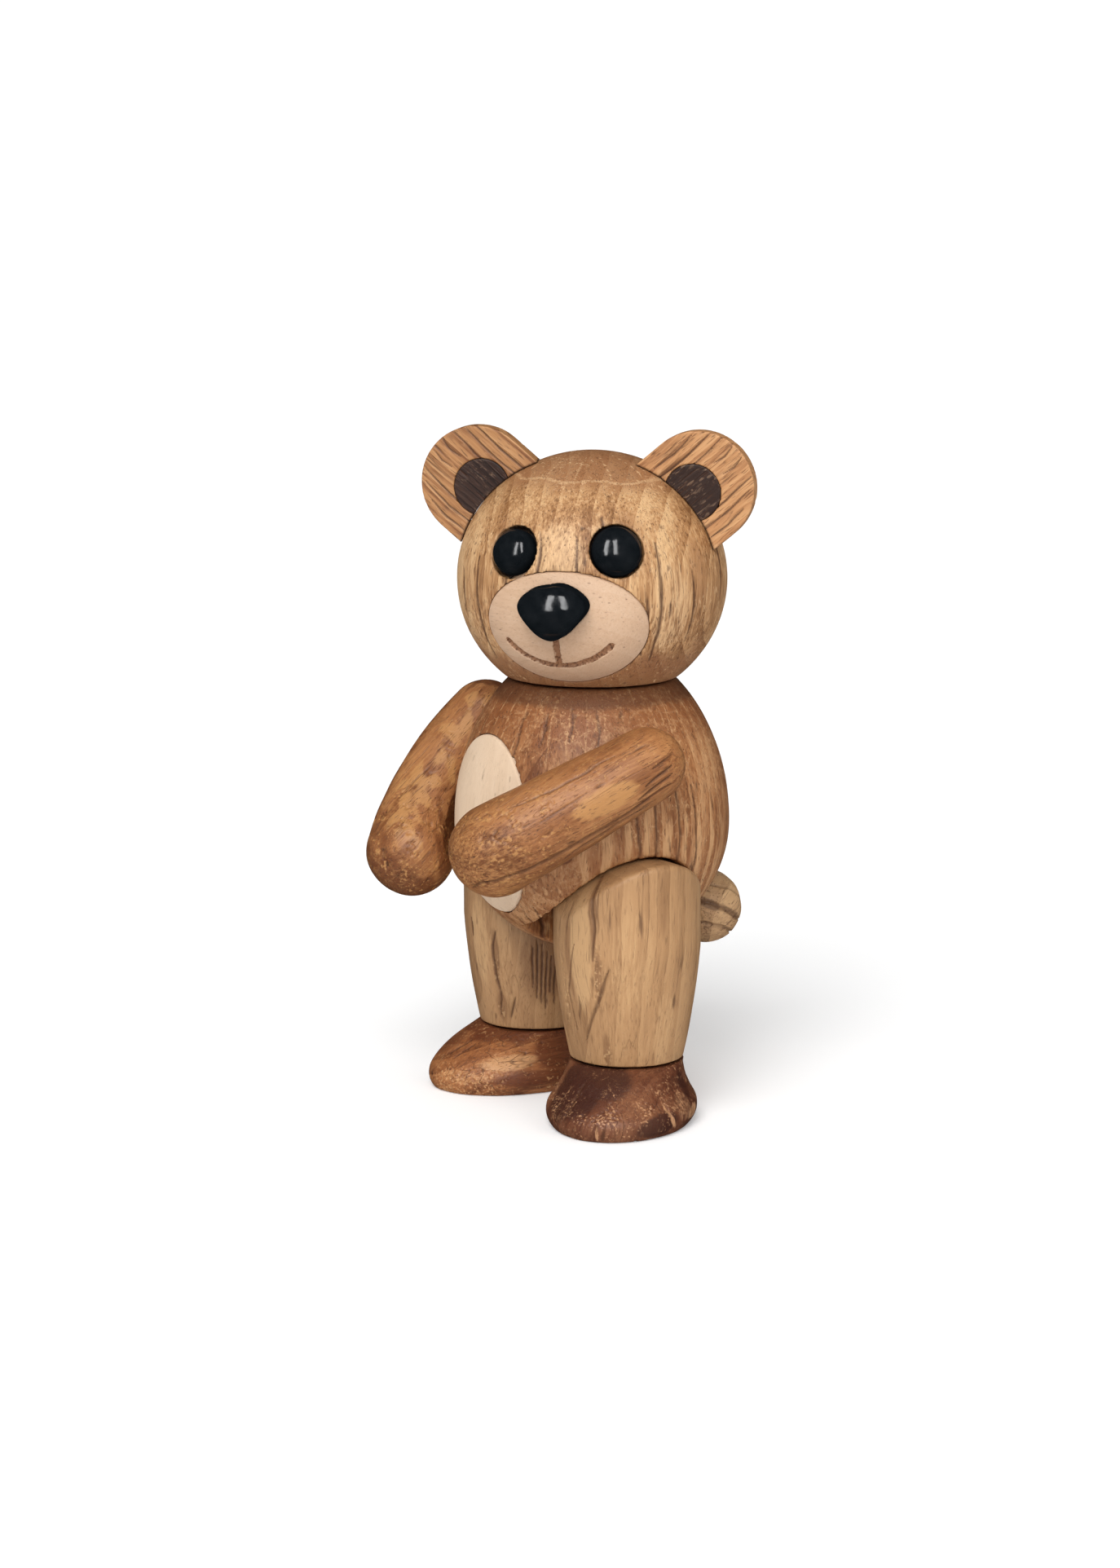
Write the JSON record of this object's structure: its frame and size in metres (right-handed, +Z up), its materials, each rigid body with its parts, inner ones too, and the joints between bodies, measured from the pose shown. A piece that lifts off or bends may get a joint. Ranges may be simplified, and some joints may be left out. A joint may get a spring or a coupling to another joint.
{
  "type": "jointed wooden bear figurine",
  "caption": "Standing wooden teddy bear with a turning head, swinging arms and legs and turning feet.",
  "frame": {"origin": "middle of the figure's footprint box, on the surface that it stands on", "axes": "+Z up, the body faces -Y, the bear's left side is +X"},
  "size_m": [0.0698, 0.0682, 0.1198],
  "materials": {
    "head_wood": "turned oak, oiled",
    "body_wood": "turned brown oak with ray flecks, oiled",
    "arm_wood": "carved figured oak, oiled",
    "leg_wood": "turned pale oak with streaks, oiled",
    "foot_wood_left": "dark smoked burl oak, oiled",
    "foot_wood_right": "brown smoked oak, oiled",
    "ear_wood": "sawn oak plate, oiled",
    "ear_inlay_wood": "dark walnut",
    "maple": "pale maple, sanded",
    "tail_wood": "carved pale oak",
    "black_gloss": "black gloss lacquer",
    "dowel_wood": "beech dowel",
    "bush_plastic": "natural nylon"
  },
  "bodies": {
    "body": {"body": "body_wood", "belly_inlay": "maple", "tail": "tail_wood", "tail_dowel": "dowel_wood", "neck_bush": "bush_plastic", "hip_axle": "dowel_wood", "shoulder_dowel_left": "dowel_wood", "shoulder_dowel_right": "dowel_wood"},
    "head": {"head": "head_wood", "muzzle": "maple", "nose": "black_gloss", "neck_dowel": "dowel_wood", "eye_left": "black_gloss", "eye_right": "black_gloss", "ear_left": "ear_wood", "ear_right": "ear_wood", "ear_inlay_left": "ear_inlay_wood", "ear_inlay_right": "ear_inlay_wood", "ear_dowel_left": "dowel_wood", "ear_dowel_right": "dowel_wood"},
    "arm_left": {"arm_left": "arm_wood", "shoulder_bush_left": "bush_plastic"},
    "leg_left": {"leg_left": "leg_wood", "hip_bush_left": "bush_plastic", "ankle_dowel_left": "dowel_wood"},
    "foot_left": {"foot_left": "foot_wood_left", "ankle_bush_left": "bush_plastic"},
    "arm_right": {"arm_right": "arm_wood", "shoulder_bush_right": "bush_plastic"},
    "leg_right": {"leg_right": "leg_wood", "hip_bush_right": "bush_plastic", "ankle_dowel_right": "dowel_wood"},
    "foot_right": {"foot_right": "foot_wood_right", "ankle_bush_right": "bush_plastic"}
  },
  "joints": [
    {"name": "head_turn", "type": "hinge", "parent": "body", "child": "head", "pos_m": [0.00007, 0.00375, 0.0759], "axis": [0, 0, 1], "continuous": true},
    {"name": "arm_left_swing", "type": "hinge", "parent": "body", "child": "arm_left", "pos_m": [0.02156, -0.00173, 0.06177], "axis": [-0.9257, 0.236, -0.2957], "range_deg": [-26.5, 45.5]},
    {"name": "arm_right_swing", "type": "hinge", "parent": "body", "child": "arm_right", "pos_m": [-0.02142, -0.00173, 0.06177], "axis": [-0.9257, -0.236, 0.2957], "range_deg": [-5.5, 66.5]},
    {"name": "leg_left_swing", "type": "hinge", "parent": "body", "child": "leg_left", "pos_m": [0.01627, 0.00135, 0.0337], "axis": [-1, 0, 0], "range_deg": [-22, 35]},
    {"name": "leg_right_swing", "type": "hinge", "parent": "body", "child": "leg_right", "pos_m": [-0.01613, 0.00135, 0.0337], "axis": [-1, 0, 0], "range_deg": [-22, 35]},
    {"name": "foot_left_turn", "type": "hinge", "parent": "leg_left", "child": "foot_left", "pos_m": [0.01627, 0.00135, 0.0109], "axis": [0, 0, 1], "range_deg": [-71.5, 158.5]},
    {"name": "foot_right_turn", "type": "hinge", "parent": "leg_right", "child": "foot_right", "pos_m": [-0.01613, 0.00135, 0.0109], "axis": [0, 0, -1], "range_deg": [-22, 208]}
  ]
}
